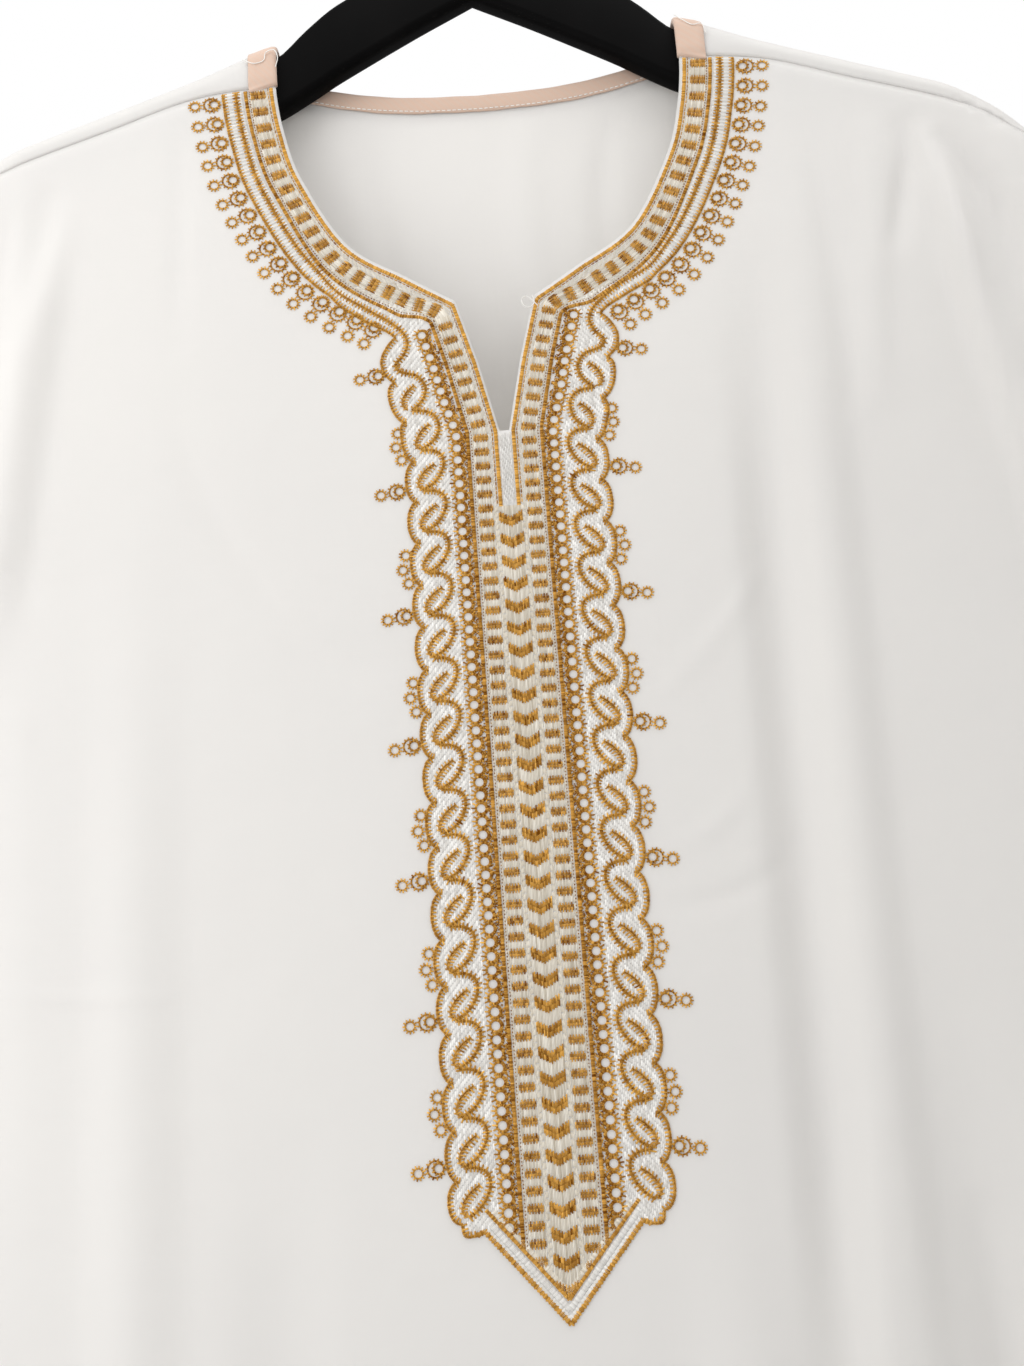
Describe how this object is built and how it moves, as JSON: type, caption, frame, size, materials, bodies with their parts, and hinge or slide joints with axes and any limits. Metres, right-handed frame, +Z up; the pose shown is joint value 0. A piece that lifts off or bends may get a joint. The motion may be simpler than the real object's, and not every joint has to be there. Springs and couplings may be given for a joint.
{
  "type": "thobe on a hanger",
  "caption": "Long white thobe with a round slit neck and gold embroidered placket, hung from a flat black hanger.",
  "frame": {"origin": "inner top of the hanger's hook, where a rail holds it", "axes": "+Z up, the front of the robe faces -Y, +X to the viewer's right"},
  "size_m": [0.812, 0.092, 1.5048],
  "materials": {
    "front_cloth": "white satin-faced polyester, soft sheen",
    "back_cloth": "white satin-faced polyester, soft sheen",
    "sleeve_left_cloth": "white satin-faced polyester, soft sheen",
    "sleeve_right_cloth": "white satin-faced polyester, soft sheen",
    "embroidery": "machine embroidery in gold, cream and white rayon thread",
    "binding": "peach bias tape, matt",
    "hanger_black": "matt black",
    "hook_steel": "plain steel wire"
  },
  "bodies": {
    "root": {"front_panel": "front_cloth", "back_panel": "back_cloth", "sleeve_left": "sleeve_left_cloth", "sleeve_right": "sleeve_right_cloth", "front_embroidery": "embroidery", "neck_binding": "binding", "hanger_body": "hanger_black", "hanger_hook": "hook_steel"}
  },
  "joints": []
}
